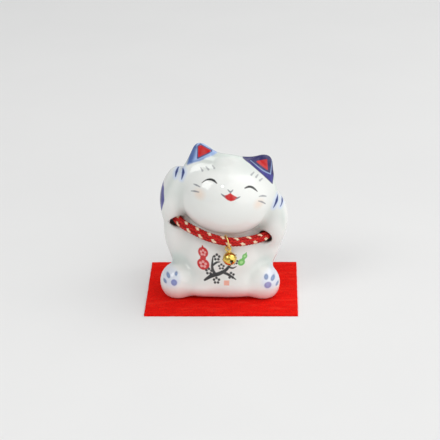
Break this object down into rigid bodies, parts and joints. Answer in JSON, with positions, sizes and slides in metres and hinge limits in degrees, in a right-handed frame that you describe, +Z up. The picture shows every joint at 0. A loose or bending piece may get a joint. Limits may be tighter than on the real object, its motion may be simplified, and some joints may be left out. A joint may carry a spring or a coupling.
{
  "type": "beckoning cat figurine",
  "caption": "Seated porcelain beckoning cat with both paws raised, braided collar cord with a jingle bell on a jump ring, standing on a felt mat.",
  "frame": {"origin": "middle of the felt mat's underside", "axes": "+Z up, the cat's face looks towards -Y, +X to the right as the face is looked at"},
  "size_m": [0.09, 0.07, 0.0961],
  "materials": {
    "felt": "pressed felt",
    "porcelain": "glossy clear glaze over white slip-cast porcelain",
    "cord": "braided",
    "gilt_brass": "bright plated",
    "steel": "plain"
  },
  "bodies": {
    "mat": {"felt_mat": "felt"},
    "cat": {"porcelain_cat": "porcelain", "collar_cord": "cord", "cord_knot": "cord"},
    "ring": {"jump_ring": "gilt_brass"},
    "bell": {"bell_shank": "gilt_brass", "bell_upper_shell": "gilt_brass", "bell_lower_shell": "gilt_brass"},
    "pellet": {"bell_pellet": "steel"}
  },
  "joints": [
    {"name": "cat_lift", "type": "slide", "parent": "mat", "child": "cat", "axis": [0, 0, 1], "range_m": [0, 0.1]},
    {"name": "ring_swing", "type": "hinge", "parent": "cat", "child": "ring", "pos_m": [0.0038, -0.02056, 0.04167], "axis": [-0.979, -0.1224, 0.1632], "range_deg": [0, 55]},
    {"name": "bell_swing", "type": "hinge", "parent": "ring", "child": "bell", "pos_m": [0.0044, -0.01998, 0.03725], "axis": [-0.309, 0.9474, 0.0829], "range_deg": [-28, 28]},
    {"name": "pellet_rattle", "type": "slide", "parent": "bell", "child": "pellet", "axis": [-0.1355, 0.337, 0.9317], "range_m": [0, 0.0042]}
  ]
}
